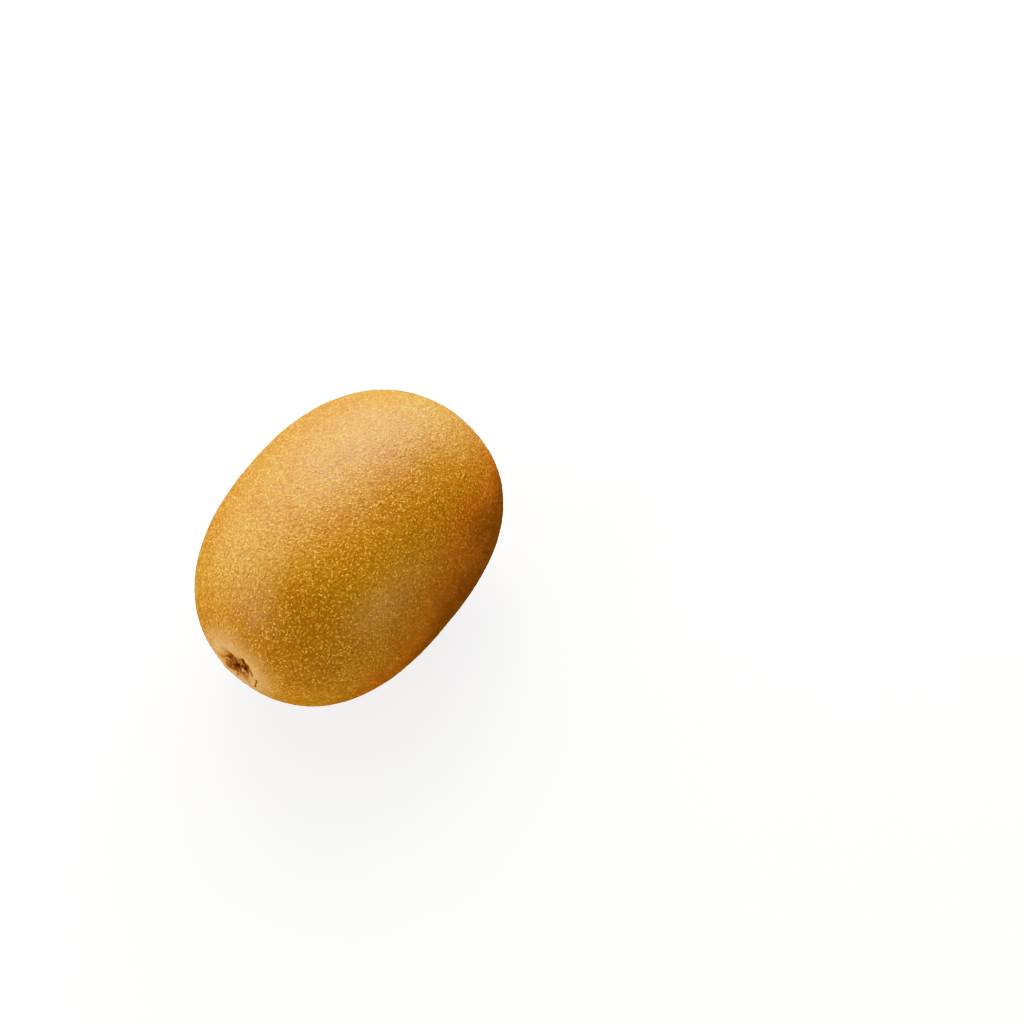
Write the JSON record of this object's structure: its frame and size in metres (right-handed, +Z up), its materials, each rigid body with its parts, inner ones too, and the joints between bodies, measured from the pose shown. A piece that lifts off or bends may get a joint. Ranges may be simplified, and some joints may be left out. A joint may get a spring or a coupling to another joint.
{
  "type": "golden kiwi fruit",
  "caption": "Whole golden kiwi fruit lying on its side, with a woody stem scar and dried sepals at one end and dried styles at the other.",
  "frame": {"origin": "on the table under the middle of the fruit, in the small flat spot that it rests on", "axes": "+X runs from the stem end to the flower end along the fruit, +Y across it, +Z up"},
  "size_m": [0.074, 0.0542, 0.0518],
  "materials": {
    "skin": "satin brown-gold fruit skin with fine corky dots"
  },
  "bodies": {
    "root": {"kiwi_fruit": "skin"}
  },
  "joints": []
}
